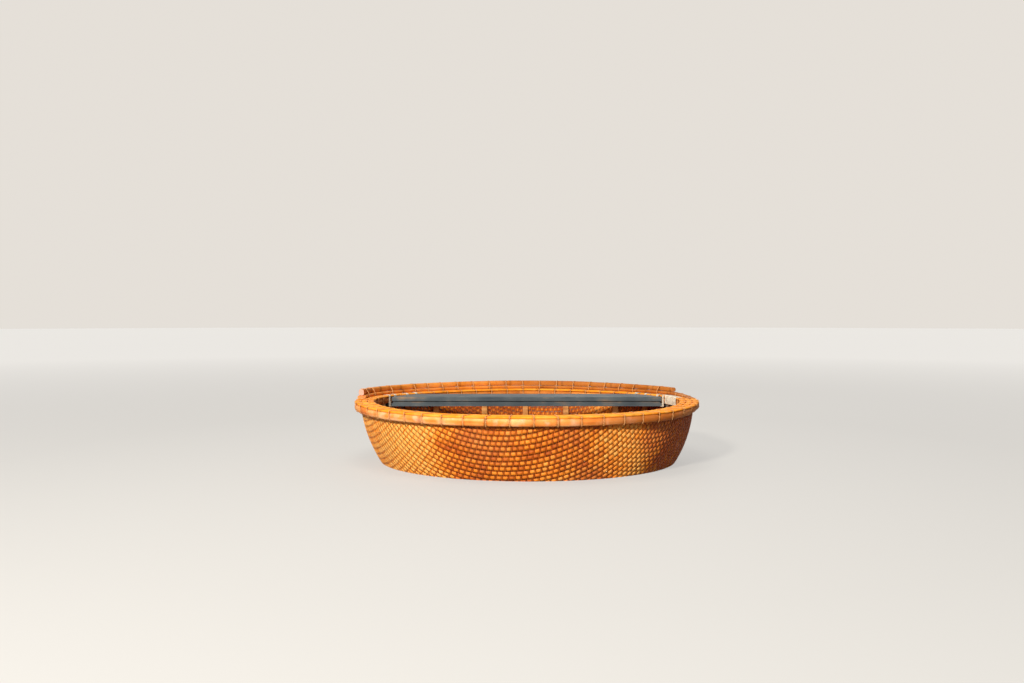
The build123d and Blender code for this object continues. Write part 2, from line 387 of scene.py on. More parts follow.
def makeWeaveMaterial():
    look = weaveLook
    made, tree, shader = newMaterial("wovenBamboo")
    x, _, z = split(objectPlace(tree))
    # painted light and shade: paler, with faint painted shade, at the left where the light falls full; paler in a
    # painted pool of light at the right; darker in painted shade from shadeFrom on
    paintedLight = held((-x - look["leftFrom"]) * 3.4, 0.0, 1.0) + bump(x - look["rightAt"], look["rightWide"]) * 0.90
    paintedLight = paintedLight - held((x - look["shadeFrom"]) * 3.0, 0.0, 0.6)
    along, across, strip = split(attribute(tree, "place", "Vector"))
    tone = attribute(tree, "tone")
    lift = size(attribute(tree, "lift"))
    fibres = noise(vector(along * 7.0, across * 6.0, strip * 3.7), 1.0, 4.0)
    patches = noise(objectPlace(tree), 4.5, 5.0, 0.6)
    flecks = noise(vector(along * 45.0, across * 2.0, strip * 1.3), 1.0, 3.0)
    value = tone * 0.36 + fibres * 0.22 + patches * 0.75 + flecks * 0.34 - 0.465 + paintedLight * 0.31
    colour = ramp(value, (0.22, look["brown"]), (0.46, look["honey"]), (0.72, look["straw"]))
    ageing = noise(objectPlace(tree), 3.1, 4.0, 0.55, 7.0)
    colour = mixed(held((ageing - 0.46 - paintedLight * 0.12) * 4.0, 0.0, 0.55), colour, look["rust"])
    edge = held(size(across), 0.0, 1.0)
    dip = held(1.0 - lift, 0.0, 1.0)
    broken = held(noise(objectPlace(tree), 34.0, 3.0, 0.6) * 3.2 - 0.75, 0.1, 1.6)
    flank = calc("POWER", edge, 1.5)
    # painted shade where the strips dive under others and along their flanks, with real grime from the ageing noise
    shadeAndDirt = held((dip * 0.7 + flank * 0.62) * broken + (ageing - 0.5) * 0.8, 0.0, 1.0)
    shadeAndDirt = larger(shadeAndDirt, held((z - look["underHoop"]) * 60.0, 0.0, 0.75))  # in the outer hoop's shade
    # the painted shade and the grime darken the colour, less so where the painted light falls
    colour = mixed(shadeAndDirt * (0.70 - paintedLight * 0.48), colour, look["shadeAndGrime"])
    wet = held((waterline - 0.004 - z) * 40.0 + (patches - 0.5) * 0.6, 0.0, 1.0)
    colour = mixed(wet * 0.6, colour, look["stain"])
    weft = below(0.0, strip)
    rounding = edge * edge * (0.5 + weft * 1.3) * (1.0 - held(paintedLight, 0.0, 1.0) * 0.6)
    grain = fibres + flecks * 0.5 - rounding
    coat(shader, colour, 0.42 + fibres * 0.25 + shadeAndDirt * 0.15, 0.20, grain, strength=0.8)
    return made


def makeResinMaterial():
    made, tree, shader = newMaterial("resinCoat")
    place = objectPlace(tree)
    lumps = noise(place, 60.0, 4.0)
    colour = ramp(lumps, (0.3, (88, 46, 16)), (0.7, (136, 76, 28)))
    coat(shader, colour, 0.5, 0.5, lumps, 0.002)
    return made


def makeSplitMaterial(name, skin, shade, dark, blushTone, seed=0.0, gloss=0.12, shadedRight=None):
    # split bamboo with its skin: fibres along the hoop, patches, darker joints, painted shade by the cords
    made, tree, shader = newMaterial(name)
    x, y, z = split(objectPlace(tree))
    radius = length(x, y)
    joint, pinch, cut, tone = [attribute(tree, name) for name in ("joint", "pinch", "cut", "tone")]
    fibres = noise(vector(x * 4.0, y * 4.0, radius * 260.0), 1.0, 5.0, 0.6, z * 260.0 + seed)
    streaks = noise(vector(x * 2.0, y * 2.0, radius * 70.0), 1.0, 3.0, 0.5, z * 70.0 + seed + 5.0)
    patches = noise(vector(x, y, z), 9.0, 4.0, 0.6, seed + 9.0)
    specks = noise(vector(x, y, z), 130.0, 2.0, 0.5, seed + 3.0)
    value = fibres * 0.3 + streaks * 0.4 + patches * 0.5 + tone * 0.10 - 0.15
    colour = ramp(value, (0.3, dark), (0.46, shade), (0.62, skin))
    blush = noise(vector(x, y, z), 22.0, 3.0, 0.5, seed + 21.0)
    colour = mixed(held((blush - 0.5) * 3.0, 0.0, 0.5), colour, blushTone)
    colour = mixed(held((specks - 0.6) * 5.0, 0.0, 0.55), colour, dark)
    if shadedRight:
        shadeTone, start, share = shadedRight  # painted shade: darker and browner from this X on
        colour = mixed(held((x - start) * 2.5 + (patches - 0.5) * 0.8, 0.0, 1.0) * share, colour, shadeTone)
    # dark joints, and painted shade in the grooves where the cords press in
    colour = mixed(held(joint * 0.5 + pinch * 0.42, 0.0, 0.8), colour, (112, 60, 20))
    ends = noise(vector(x, y, z), 700.0, 2.0)
    colour = mixed(cut, colour, ramp(ends, (0.35, (196, 136, 112)), (0.6, (230, 192, 178))))
    grain = fibres * 0.6 + streaks + joint * 0.4
    coat(shader, colour, 0.42 + streaks * 0.3, gloss, grain, strength=0.7)
    return made


def makeCordMaterial(name, light, dark, lay):
    # twisted cord: strands that slant round it, with painted shade in the grooves between them
    made, tree, shader = newMaterial(name)
    along, around = attribute(tree, "along"), attribute(tree, "around")
    strand = sine(along * (2 * math.pi / lay) + around * (6 * math.pi)) * 0.5 + 0.5
    patches = noise(objectPlace(tree), 40.0, 3.0)
    colour = ramp(strand * 0.6 + patches * 0.5, (0.25, dark), (0.75, light))
    coat(shader, colour, 0.75, 0.5, strand, 0.0008, 0.8)
    return made


def makePaintMaterial():
    # blue-grey paint on a plank, thin and worn to the wood in patches
    made, tree, shader = newMaterial("benchPaint")
    place = objectPlace(tree)
    x, y, z = split(place)
    grain = noise(vector(x * 3.0, y * 60.0, z * 60.0), 1.0, 5.0)
    patches = noise(place, 7.0, 5.0)
    paint = ramp(patches * 0.7 + grain * 0.3,
                 (0.3, (48, 60, 70)), (0.55, (80, 90, 96)), (0.75, (108, 114, 114)))
    wood = ramp(grain, (0.3, (110, 78, 48)), (0.7, (168, 130, 88)))
    worn = held((patches * 0.5 + grain * 0.6 - 0.62) * 7.0, 0.0, 1.0)
    colour = mixed(worn * 0.7, paint, wood)
    coat(shader, colour, 0.58 + worn * 0.2, 0.3, grain - worn * 0.5, strength=0.6)
    return made


weaveMaterial = makeWeaveMaterial()
resinMaterial = makeResinMaterial()
# skin, shade, dark and blush of each bamboo; then its seed, gloss and painted shade toward the right
rimMaterial = makeSplitMaterial(
    "rimBamboo", (255, 190, 124), (244, 148, 68), (200, 98, 34), (255, 200, 166), 0.0, 0.10,
    ((182, 94, 26), 0.14, 0.66))
capMaterial = makeSplitMaterial(
    "capBamboo", (255, 174, 64), (253, 152, 38), (226, 118, 24), (255, 180, 96), 40.0, 0.03)
# the raised hoop is painted darker than the rim, as painted shadow, and darker still toward the right
raisedMaterial = makeSplitMaterial(
    "raisedBamboo", (242, 158, 72), (216, 128, 46), (156, 84, 28), (224, 150, 92), 60.0, 0.06,
    ((132, 74, 34), -0.30, 0.48))
# the inner hoop is painted darker than the rim, as painted shadow
innerMaterial = makeSplitMaterial(
    "innerHoopBamboo", (228, 146, 60), (196, 112, 38), (128, 66, 22), (214, 134, 70), 80.0)
ribMaterial = makeSplitMaterial(
    "ribBamboo", (214, 156, 92), (182, 120, 62), (122, 76, 38), (206, 146, 96), 120.0)
cordMaterial = makeCordMaterial("rimCord", (248, 186, 120), (198, 128, 68), 0.008)
twineMaterial = makeCordMaterial("benchTwine", (244, 232, 214), (170, 150, 126), 0.007)
paintMaterial = makePaintMaterial()
print("materials made")


# Hull: wide weft strips that go over two narrow warp strips and under one, in a twill. They are laid
# out as a flat mat and formed to the bowl, so that they turn with its face as in the photo.

weave = {
    "turn": math.radians(-9.0),
    "middle": 0.0050,  # depth of the mat's middle in the wall
    # Side is 1 for the strips that show most and -1 for those they cross, and Shade makes them paler or darker; the
    # warp's dark Shade is painted shade, for it lies sunk between the wefts
    "weft": {"Pitch": 0.0280, "Count": 88, "Width": 0.0262, "Thickness": 0.0064, "Lift": 0.0014, "Sides": 6,
             "Side": 1.0, "Wobble": 0.0034, "Shade": 0.06},
    "warp": {"Pitch": 0.0115, "Count": 214, "Width": 0.0096, "Thickness": 0.0044, "Lift": 0.0022, "Sides": 4,
             "Side": -1.0, "Wobble": 0.0008, "Shade": -0.55},
}


def makeWeaveTree():
    sizes = [*weave["weft"], "Cross", "First", "Strips", "Samples", "Phase", "Turn", "Middle", "Reach", "Seed"]
    tree, given = newTree("wovenStrips", sizes, ("Count", "First", "Strips", "Samples", "Sides", "Seed"))
    samples, sides = given["Samples"], given["Sides"]
    ring = node(tree, "GeometryNodeMeshGrid", Size_X=samples - 1.0, Size_Y=sides * 1.0,
                Vertices_X=samples, Vertices_Y=sides + 1.0)
    rows = node(tree, "GeometryNodeMeshLine", Count=given["Strips"], Offset=(0.0, 0.0, 1.0))
    copies = node(tree, "GeometryNodeInstanceOnPoints", Points=out(rows), Instance=out(ring, "Mesh"))
    real = node(tree, "GeometryNodeRealizeInstances", Geometry=out(copies))
    sample, edge, index = split(position(tree))
    strip = index + given["First"]
    pitch, cross = given["Pitch"], given["Cross"]
    along = sample * cross * 0.5  # two rings for each strip crossed
    straight = (strip - (given["Count"] - 1.0) * 0.5) * pitch
    reach = given["Reach"]
    half = calc("SQRT", larger(reach * reach - straight * straight, 0.0))
    kept = node(tree, "GeometryNodeDeleteGeometry", {"domain": "POINT"}, Geometry=out(real))
    plug(below(half + cross * 0.4999, size(along)), kept.inputs["Selection"])
    whole = below(size(along), half)  # 0 on the last ring of a strip, which closes to a point
    inside = held(along, -half, half)
    # 0 at each third crossing, where a weft strip dips under the warp and a warp strip lies over the weft
    side = given["Side"]
    step = inside / cross + strip * side + given["Phase"]
    away = size(wrapped(step + 1.5, 3.0) - 1.5)
    loose = noise(vector(inside * 9.0, strip * 3.3, side * 5.0), 1.0, 2.0) - 0.5
    wave = held((away - 0.5 + side * 0.14 + loose * 0.25) * 2.1, -1.0, 1.0) * side
    flatX = inside * cosine(given["Turn"]) - straight * sine(given["Turn"])
    worn = 1.0 - held((-flatX - 0.40) * 2.4, 0.0, 1.0) * 0.72  # flatter at the left
    height = wave * given["Lift"] * (1.0 + loose * 0.7) * worn
    slack = noise(vector(inside * 5.0, strip * 7.7, side * 9.0), 1.0, 2.0) - 0.5
    offset = straight + slack * given["Wobble"] * 2.0
    angle = (edge + sides * 0.5) * (2 * math.pi) / sides + math.pi / sides
    wide = given["Width"] * 0.5 * (1.04 + loose * 0.16 - worn * 0.04) * whole
    across = cosine(angle) / cosine(math.pi / sides) * wide
    thick = sine(angle) * size(sine(angle)) * given["Thickness"] * 0.5 * whole * worn
    sideways = offset + across
    distance = larger(length(inside, sideways), 0.00001)
    radius, level = bowlFields(smaller(distance, reach), given["Middle"] - height - thick)
    unitX, unitY = inside / distance, sideways / distance
    turn = given["Turn"]
    x = (unitX * cosine(turn) - unitY * sine(turn)) * radius
    y = (unitX * sine(turn) + unitY * cosine(turn)) * radius
    across = across / given["Width"] * 2.0
    place = vector(inside, across, strip + side * 300.0)  # below 0 on the warp
    stretch = calc("FLOOR", (step + (1.0 - side) * 0.75) / 3.0)  # from one dip to the next
    tone = drawn(stretch + strip * 397.0, given["Seed"]) * 0.6 + drawn(strip, given["Seed"]) * 0.4
    shape = store(out(kept), "FLOAT_VECTOR", place=place)
    # the family's Shade joins the tone: on the warp it is painted shade
    shape = store(shape, lift=wave * side, tone=tone + given["Shade"])
    swayOut, swayUp = rimSway(calc("ARCTAN2", y, x))
    near = nearRim(level)
    wider = swayOut * near / larger(radius, 0.01) + 1.0
    shape = formed(shape, vector(x * wider, y * wider, level + swayUp * near))
    return closeTree(shape, given["Material"], 0.000003)


def makeHull():
    # each family in two halves, so that no piece has too many faces
    tree = makeWeaveTree()
    weft, warp = weave["weft"], weave["warp"]
    phases = {"weft": (warp["Count"] - 1) / 2, "warp": (weft["Count"] - 1) / 2 + warp["Count"] - 1}
    pieces = []
    for name, family, other, turn in (("hullWeft", "weft", warp, 0.0), ("hullWarp", "warp", weft, math.pi / 2)):
        count = weave[family]["Count"]
        for part, first in (("Near", 0), ("Far", count // 2)):
            values = {
                **weave[family], "Cross": other["Pitch"], "First": first, "Strips": count // 2,
                "Samples": 2 * math.ceil(2 * bowl["matReach"] / other["Pitch"] / 2) * 2 + 1, "Phase": phases[family],
                "Turn": weave["turn"] + turn, "Middle": weave["middle"], "Reach": bowl["matReach"], "Seed": 11,
            }
            pieces.append(grow(name + part, tree, values, weaveMaterial))
    return pieces


skin = {"Around": 180, "Rings": 40, "Outside": 0.0044, "Inside": 0.0056, "Reach": bowl["matReach"] - 0.002}


def makeSkinTree():
    # the coat that fills the weave: a thin bowl in the middle of the wall
    tree, given = newTree("resinSkin", skin, ("Around", "Rings"))
    around, rings = given["Around"], given["Rings"]
    grid = node(tree, "GeometryNodeMeshGrid", Size_X=2 * math.pi, Size_Y=rings * 2.0 - 1.0,
                Vertices_X=around + 1.0, Vertices_Y=rings * 2.0)
    angle, ring, _ = split(position(tree))
    step = ring + (rings * 2.0 - 1.0) * 0.5
    inner = below(rings - 0.5, step)
    index = step * (1.0 - inner) + (rings * 2.0 - 1.0 - step) * inner
    reach = given["Reach"] * index / (rings - 1.0)
    depth = given["Outside"] * (1.0 - inner) + given["Inside"] * inner
    radius, height = bowlFields(reach, depth)
    swayOut, swayUp = rimSway(angle)
    near = nearRim(height)
    place = aroundAxis(angle, radius + swayOut * near, height + swayUp * near)
    return closeTree(formed(out(grid, "Mesh"), place), given["Material"])


hullPieces = makeHull() + [grow("hullResin", makeSkinTree(), skin, resinMaterial)]
for piece in hullPieces:
    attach(piece, "root")
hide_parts("hull")
print("hull woven")


# Rim: hoops gripped round the wall, splints on them, a raised hoop on the far half, cords round all

rim = {
    "cords": 52,
    "phase": math.radians(271.0),
    "wallLean": math.tan(math.radians(6.5)),
    "capLow": 0.5053,
    "capHigh": 0.5173,
    "tuck": 0.019,  # how far the outer hoop's lower edge is pared up and in at the right
    "tuckAngle": math.radians(2.0),
    "tuckWidth": math.radians(26.0),
    "raisedOuter": 0.975,
    "poleInner": 0.945,
    "baseInner": 0.927,
    "baseStart": math.radians(1.0),
    "endMargin": 0.004,  # a cord this near the raised hoop's ends goes over it
    "poleStart": math.radians(20.4),
    "raisedEnd": math.radians(180.0),
    "baseTop": 0.5356,
    "poleTop": 0.5679,
    "poleThin": 0.80,  # its share of its height at the right end, where it tapers
    "poleTaper": math.radians(45.0),
}

hoopDefaults = {
    "Inner Swell": 0.0, "Outer Swell": 0.0, "Crown": 0.0,
    "Inner Lean": 0.0, "Outer Lean": 0.0,  # how the faces lean with the wall
    "Start": rim["phase"], "Sweep": 2 * math.pi,
    "Ends": 0.0,  # 1 for an open hoop
    "Bare": 1.0,  # how pale its cut end is
    "Gather": 0.8,
    "Pared": 0.0, "Thin": 1.0,  # how long a taper it starts with, and the share of its height at the tip
    "Flare": 0.0,
    "Cords": float(rim["cords"]), "Phase": rim["phase"], "Pinch": 0.0016,
    "Joints": 17.0,
    "Tuck": 0.0,
    "Rings": rim["cords"] * 8 + 1, "Around": 16,
}

capSplint = {"Low": rim["capLow"], "High": rim["capHigh"], "Crown": 0.002}
openHoop = {"Ends": 1.0, "Gather": 0.0, "Rings": 385}


def rolled(rings, around):
    # a sheet to roll into a tube, with its rings counted along it and from its nearer end, and the turn round it
    grid = node(rings.tree, "GeometryNodeMeshGrid", Size_X=rings - 1.0, Size_Y=around * 1.0,
                Vertices_X=rings, Vertices_Y=around + 1.0)
    ring, step, _ = split(position(rings.tree))
    last = rings - 1.0
    ring = ring + last * 0.5
    return out(grid, "Mesh"), ring, smaller(ring, last - ring), step * (2 * math.pi) / around


def squared(wave, power):
    # makes a circle's sine or cosine into a rounded square's; quite 0 where the circle crosses an axis
    return calc("SIGN", wave) * calc("POWER", larger(size(wave) - 0.00001, 0.0), power)


def makeHoopTree():
    _, given = newTree("bentHoop", [*hoopDefaults, "Inner", "Outer", "Low", "High", "Seed"], ("Rings", "Around"))
    sheet, ring, fromEnd, turn = rolled(given["Rings"], given["Around"])
    last = given["Rings"] - 1.0
    ends = given["Ends"]
    share = held((ring - ends * 2.0) / (last - ends * 4.0), 0.0, 1.0)
    waves = given["Cords"] * (2 * math.pi)  # the rings gather at the cords
    share = share - sine(share * waves) * given["Gather"] / waves
    angle = given["Start"] + given["Sweep"] * share
    # the first and last rings of an open hoop close its cut ends
    scale = held(fromEnd * 0.9, 0.0, 1.0) * ends + (1.0 - ends)
    cut = (1.0 - held(fromEnd - 1.0, 0.0, 1.0)) * ends * given["Bare"] * held(angle - 1.5, 0.0, 1.0)
    side, up = squared(cosine(turn), 0.45) * scale, squared(sine(turn), 0.45) * scale
    # cords press the hoop in a little, and joints swell it
    spacing, radiusHere = 2 * math.pi / rim["cords"], bowl["mouthRadius"]
    fromCord = size(wrapped((angle - given["Phase"]) / spacing + 0.5, 1.0) - 0.5) * (spacing * radiusHere)
    pinch = bump(fromCord, 0.008)
    where = wrapped(angle * given["Joints"] / (2 * math.pi) + given["Seed"] * 0.37, 1.0) - 0.5
    joint = bump(where * (2 * math.pi * radiusHere) / given["Joints"], 0.007)
    puff = joint * 0.0008 - pinch * given["Pinch"]
    thin = given["Thin"]
    pared = held((angle - given["Start"]) / larger(given["Pared"], 0.001) * (1.0 - thin) + thin, 0.02, 1.0)
    high = given["Low"] + (given["High"] - given["Low"]) * pared
    middle = (given["Inner"] + given["Outer"]) * 0.5
    half = (given["Outer"] - given["Inner"]) * 0.5 + puff
    tall = (high - given["Low"]) * 0.5 + puff * 0.6
    outside = larger(side, 0.0)
    inside = larger(-side, 0.0)
    bulge = 1.0 - up * up
    radius = middle + side * half + outside * bulge * given["Outer Swell"] - inside * bulge * given["Inner Swell"]
    radius = radius + up * tall * (outside * given["Outer Lean"] + inside * given["Inner Lean"])
    height = (high + given["Low"]) * 0.5 + up * tall
    fromTuck = wrapped(angle - rim["tuckAngle"] + math.pi, 2 * math.pi) - math.pi
    tuck = bump(fromTuck, rim["tuckWidth"]) * given["Tuck"] * larger(-up, 0.0)
    height = height + tuck * 0.9
    radius = radius - tuck * outside
    height = height - larger(up, 0.0) * side * side * given["Crown"]
    flare = bump(angle - given["Start"] - given["Sweep"], 0.08) * given["Flare"]  # higher and turned in at the end
    height = height + larger(up, 0.0) * flare
    radius = radius - flare * 1.3
    swayOut, swayUp = rimSway(angle)
    own = noise(vector(cosine(angle), sine(angle), given["Seed"] * 3.1), 6.0, 3.0) - 0.5
    radius = radius + swayOut + own * 0.0024
    height = height + swayUp
    segment = calc("FLOOR", (angle - given["Phase"]) / spacing + 200.0)
    tone = drawn(segment + given["Seed"] * 131.0)
    shape = store(sheet, joint=joint, pinch=pinch * (1.0 - cut), cut=cut, tone=tone)
    return closeTree(formed(shape, aroundAxis(angle, radius, height)), given["Material"])


hoops = [
    ("outerHoop", "outer_hoop", rimMaterial, {
        "Inner": 0.9481, "Outer": 0.9750, "Low": 0.4670, "High": 0.5078, "Outer Swell": 0.005,
        "Inner Lean": rim["wallLean"], "Pinch": 0.0026, "Tuck": rim["tuck"], "Seed": 1.0}),
    ("innerHoopBack", "inner_hoop_back", innerMaterial, {
        "Inner": 0.9086, "Outer": 0.9376, "Low": 0.4700, "High": 0.5050, "Outer Lean": rim["wallLean"],
        "Seed": 2.0}),
    ("innerHoopFace", "inner_hoop_face", innerMaterial, {
        "Inner": 0.8806, "Outer": 0.9056, "Low": 0.4700, "High": 0.5050, "Inner Swell": 0.006,
        "Pinch": 0.0022, "Seed": 3.0}),
    ("capInner", "cap_splint_inner", capMaterial, {
        "Inner": 0.8726, "Outer": 0.9056, **capSplint, "Seed": 4.0}),
    ("capMiddle", "cap_splint_middle", capMaterial, {
        "Inner": 0.9086, "Outer": 0.9422, **capSplint, "Seed": 5.0}),
    ("capOuter", "cap_splint_outer", capMaterial, {
        "Inner": 0.9434, "Outer": 0.9770, **capSplint, "Seed": 6.0}),
    ("raisedBase", "raised_base", raisedMaterial, {
        **openHoop, "Inner": rim["baseInner"], "Outer": rim["raisedOuter"], "Low": 0.5176,
        "High": rim["baseTop"], "Crown": 0.001, "Bare": 0.15, "Start": rim["baseStart"],
        "Sweep": rim["raisedEnd"] - rim["baseStart"], "Pared": rim["poleStart"] - rim["baseStart"], "Thin": 0.0,
        "Seed": 7.0}),
    ("raisedPole", "raised_pole", raisedMaterial, {
        **openHoop, "Inner": rim["poleInner"], "Outer": rim["raisedOuter"] - 0.004, "Low": 0.5359,
        "High": rim["poleTop"], "Outer Swell": 0.004, "Crown": 0.003, "Start": rim["poleStart"],
        "Sweep": rim["raisedEnd"] - rim["poleStart"], "Pared": rim["poleTaper"], "Thin": rim["poleThin"],
        "Flare": 0.005, "Seed": 8.0}),
]

hoopTree = makeHoopTree()
for name, nodeName, material, sizes in hoops:
    piece = grow(name, hoopTree, {**hoopDefaults, **sizes}, material)
    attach(piece, "root")
    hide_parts(nodeName)
print("hoops bent")


def makeCordTree():
    # twisted cord along closed loops, one set of loops at each point of the mesh
    tree, given = newTree("boundCord", ["Thickness", "Bend", "Wander", "Sides", "Seed"], ("Sides",), ("Loops",))
    info = node(tree, "GeometryNodeObjectInfo", Object=given["Loops"])
    turn = node(tree, "GeometryNodeInputNamedAttribute", {"data_type": "FLOAT"}, Name="turn")
    tilt = node(tree, "FunctionNodeEulerToRotation", Euler=vector(0.0, 0.0, out(turn)))
    loops = node(tree, "GeometryNodeMeshToCurve", Mesh=out(info, "Geometry"))
    bent = node(tree, "GeometryNodeFilletCurve", {"mode": "POLY"}, Curve=out(loops), Radius=given["Bend"],
                Count=3, Limit_Radius=True)
    copies = node(tree, "GeometryNodeInstanceOnPoints", Points=given["Geometry"],
                  Instance=out(bent), Rotation=out(tilt))
    real = node(tree, "GeometryNodeRealizeInstances", Geometry=out(copies))
    place = position(tree)
    x, y, _ = split(place)
    angle = calc("ARCTAN2", y, x)
    swayOut, swayUp = rimSway(angle)
    wander = node(tree, "ShaderNodeTexNoise", {"noise_dimensions": "4D"}, Vector=place, W=given["Seed"], Scale=26.0)
    dx, dy, dz = split(out(wander, "Color"))
    shift = given["Wander"]
    shifted = vector(cosine(angle) * swayOut + (dx - 0.5) * shift,
                     sine(angle) * swayOut + (dy - 0.5) * shift, swayUp + (dz - 0.5) * shift * 0.3)
    moved = node(tree, "GeometryNodeSetPosition", Geometry=out(real), Offset=shifted)
    spline = node(tree, "GeometryNodeSplineParameter")
    marked = store(out(moved), along=out(spline, "Length"))
    ringShape = node(tree, "GeometryNodeCurvePrimitiveCircle", Resolution=given["Sides"],
                     Radius=given["Thickness"] * 0.5)
    ringSpline = node(tree, "GeometryNodeSplineParameter")
    ringMarked = store(out(ringShape), around=out(ringSpline, "Factor"))
    tube = node(tree, "GeometryNodeCurveToMesh", Curve=marked, Profile_Curve=ringMarked)
    return closeTree(out(tube), given["Material"], 0.000001)


def outlineObject(name, loops):
    # closed lines through points, as a mesh of edges
    points, edges = [], []
    for loop in loops:
        first = len(points)
        points += loop
        edges += [(first + k, first + (k + 1) % len(loop)) for k in range(len(loop))]
    mesh = bpy.data.meshes.new(name)
    mesh.from_pydata(points, edges, [])
    return placed(name, mesh)


def spotMesh(name, angles):
    mesh = bpy.data.meshes.new(name)
    mesh.from_pydata([(0, 0, 0)] * len(angles), [], [])
    turn = mesh.attributes.new("turn", "FLOAT", "POINT")
    turn.data.foreach_set("value", angles)
    return mesh


cord = {
    "thickness": 0.0026,
    "strands": 2,
    "bend": 0.0035,
    "wander": 0.0022,
    "under": 0.4662,  # height where a cord lies under the hoops
    "capInner": 0.8713,  # radii of a cord's way: inside and outside of the cap, and over the outer hoop
    "capOuter": 0.9783,
    "hoopOuter": 0.9756,
    "twineAt": (20.9, 34.4, 145.6, 159.1),  # degrees; no cord goes where the bench's twine does
    "clearOfTwine": 3.5,
}


def tuckAt(angle):
    away = (angle - rim["tuckAngle"] + math.pi) % (2 * math.pi) - math.pi
    return rim["tuck"] * math.exp(-((away / rim["tuckWidth"]) ** 2))


def cordLoop(rise, shift, lift, tuck):
    # a cord's way round the rim: under the hoops, up over the outer hoop and the cap, and back inside
    low = cord["under"] - lift
    outer, capOut, capIn = cord["hoopOuter"] + lift, cord["capOuter"] + lift, cord["capInner"] - lift
    top = rim["capHigh"] + 0.0010 + lift
    points = [(capIn, low), (0.9440, low), (outer - 0.002 - tuck * 0.9, low + tuck * 0.9),
              (outer + 0.0012 - tuck * 0.55, 0.474 + tuck * 0.75), (outer + 0.0026 - tuck * 0.15, 0.486 + tuck * 0.3),
              (outer + 0.0014, 0.498), (capOut, 0.5062), (capOut, top - 0.002)]
    if rise > 0:
        raised = rim["raisedOuter"] + 0.0013 + lift
        high = top + rise
        points += [(raised, top + 0.004), (raised, high - 0.002)]
        if high > rim["baseTop"] + 0.004:
            points += [(rim["poleInner"] - 0.0006 - lift, high - 0.001)]
        points += [(rim["baseInner"] - 0.0013 - lift, min(high, rim["baseTop"] + 0.001)),
                   (rim["baseInner"] - 0.0013 - lift, top + 0.003)]
    else:
        points += [(0.976, top)]
    points += [(0.9425, top - 0.0016), (0.907, top - 0.0016), (0.890, top), (capIn, top - 0.003), (capIn, 0.505),
               (0.8736 - lift, 0.492), (0.8738 - lift, 0.482)]
    return [(r, shift, z) for r, z in points]


def cordSpots():
    # every cord's angle, less those that would meet the bench's twine
    spots = []
    for k in range(rim["cords"]):
        angle = (rim["phase"] + k * 2 * math.pi / rim["cords"]) % (2 * math.pi)
        if all(abs(math.degrees(angle) - crossing) > cord["clearOfTwine"] for crossing in cord["twineAt"]):
            spots.append(angle)
    return spots


def riseAt(angle):
    # how far the raised hoop stands above the cap
    if angle < rim["baseStart"] - rim["endMargin"] or angle > rim["raisedEnd"] + rim["endMargin"]:
        return 0.0
    if angle > rim["poleStart"]:
        full = min(1.0, rim["poleThin"] + (1 - rim["poleThin"]) * (angle - rim["poleStart"]) / rim["poleTaper"])
        return rim["baseTop"] - rim["capHigh"] + full * (rim["poleTop"] - rim["baseTop"])
    share = (angle + 0.003 - rim["baseStart"]) / (rim["poleStart"] - rim["baseStart"])
    return 0.0008 + share * (rim["baseTop"] - rim["capHigh"])


def rotated(points, angle):
    c, s = math.cos(angle), math.sin(angle)
    return [(x * c - y * s, x * s + y * c, z) for x, y, z in points]


def makeCords():
    # like cords are copies of one; where the hoops are pared or taper, each cord has its own size
    chance = random.Random(5)
    tree = makeCordTree()
    groups = {"Low": [], "Tall": [], "Own": []}
    for angle in cordSpots():
        tapering = rim["baseStart"] - rim["endMargin"] < angle < rim["poleStart"] + rim["poleTaper"]
        low = angle < rim["baseStart"] - rim["endMargin"] or angle > rim["raisedEnd"] + rim["endMargin"]
        groups["Own" if tapering or tuckAt(angle) > 0.001 else "Low" if low else "Tall"].append(angle)
    pieces = []
    for name, angles in groups.items():
        own = name == "Own"
        strands = []
        for angle in angles if own else angles[:1]:
            for k in range(cord["strands"]):
                shift = (k - (cord["strands"] - 1) / 2) * cord["thickness"] * 1.08
                loop = cordLoop(riseAt(angle), shift, chance.uniform(0.0, 0.0003), tuckAt(angle) if own else 0.0)
                strands.append(rotated(loop, angle if own else 0.0))
        outline = outlineObject("cordOutline", strands)
        values = {"Thickness": cord["thickness"], "Bend": cord["bend"], "Wander": cord["wander"], "Sides": 7,
                  "Seed": float(len(pieces)), "Loops": outline}
        pieces.append(grow("rimCords" + name, tree, values, cordMaterial, spotMesh(name, [0.0] if own else angles)))
        bpy.data.objects.remove(outline)
    return pieces


cords = makeCords()
for piece in cords:
    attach(piece, "root")
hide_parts("rim_lashings")
print("rim lashed")


# Ribs: bent slats that lie on the inside in two crossing layers

ribs = {
    "across": {"Depth": 0.0104, "Turned": 0.0, "places": (-0.540, -0.270, 0.0, 0.270, 0.540), "nodes": "rib_across_"},
    "along": {"Depth": 0.0187, "Turned": 1.0, "places": (-0.580, -0.270, 0.0, 0.270, 0.580), "nodes": "rib_along_"},
    "all": {"Width": 0.036, "Thick": 0.0079, "Top": 0.464, "Rings": 97, "Around": 16},
}


def insetBowl(depth):
    # the section's arcs for a face this deep in the bowl: the radius where each starts, and its foot
    zones, start, foot = [], bowl["flatRadius"], depth
    for arc, low, high in bowlArcs():
        bend = arc - depth
        zones.append((start, bend, low, high, foot))
        foot = foot + bend * (math.cos(low) - math.cos(high))
        start = start + bend * (math.sin(high) - math.sin(low))
    return zones


def heightInside(radius, depth):
    height = depth
    for start, bend, low, high, _ in insetBowl(depth):
        sineOf = held((radius - start) / bend + math.sin(low), math.sin(low), math.sin(high))
        height = height + (math.cos(low) - calc("SQRT", 1.0 - sineOf * sineOf)) * bend
    return height


